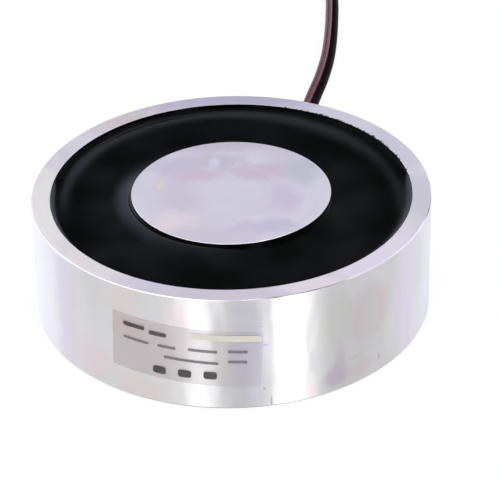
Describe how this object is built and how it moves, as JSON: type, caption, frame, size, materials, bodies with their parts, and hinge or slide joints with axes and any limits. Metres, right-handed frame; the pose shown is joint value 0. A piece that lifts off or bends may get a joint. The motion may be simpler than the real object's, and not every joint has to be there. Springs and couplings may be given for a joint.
{
  "type": "holding electromagnet",
  "caption": "Round holding electromagnet: turned steel pot with a centre pole, black potted coil dished between them, tapped back and a red and black flying lead.",
  "frame": {"origin": "centre of the flat mounting face, on the bench", "axes": "+Z along the turning axis, out of the holding face; +Y towards the side where the lead leaves; -Y towards the camera of the picture"},
  "size_m": [0.16, 0.4184, 0.05],
  "materials": {
    "plated_steel": "turned and bright nickel plated",
    "natural_nylon": "moulded, natural",
    "enamelled_copper": "enamelled copper wire",
    "polyester_tape": "thin adhesive tape",
    "heat_shrink": "heat-shrink tube",
    "black_resin": "cast epoxy, satin",
    "black_rubber": "moulded, matt",
    "red_insulation": "soft extruded insulation",
    "black_insulation": "soft extruded insulation",
    "tinned_copper": "tinned strands",
    "label_film": "thin clear film"
  },
  "bodies": {
    "root": {"pot_housing": "plated_steel", "coil_bobbin": "natural_nylon", "copper_winding": "enamelled_copper", "winding_tape": "polyester_tape", "start_wire": "enamelled_copper", "finish_wire": "enamelled_copper", "joint_sleeve_red": "heat_shrink", "joint_sleeve_black": "heat_shrink", "solder_joint_red": "tinned_copper", "solder_joint_black": "tinned_copper", "potting_resin": "black_resin", "cable_bush": "black_rubber", "lead_red": "red_insulation", "lead_black": "black_insulation", "tinned_end_red": "tinned_copper", "tinned_end_black": "tinned_copper", "label_film": "label_film"}
  },
  "joints": []
}
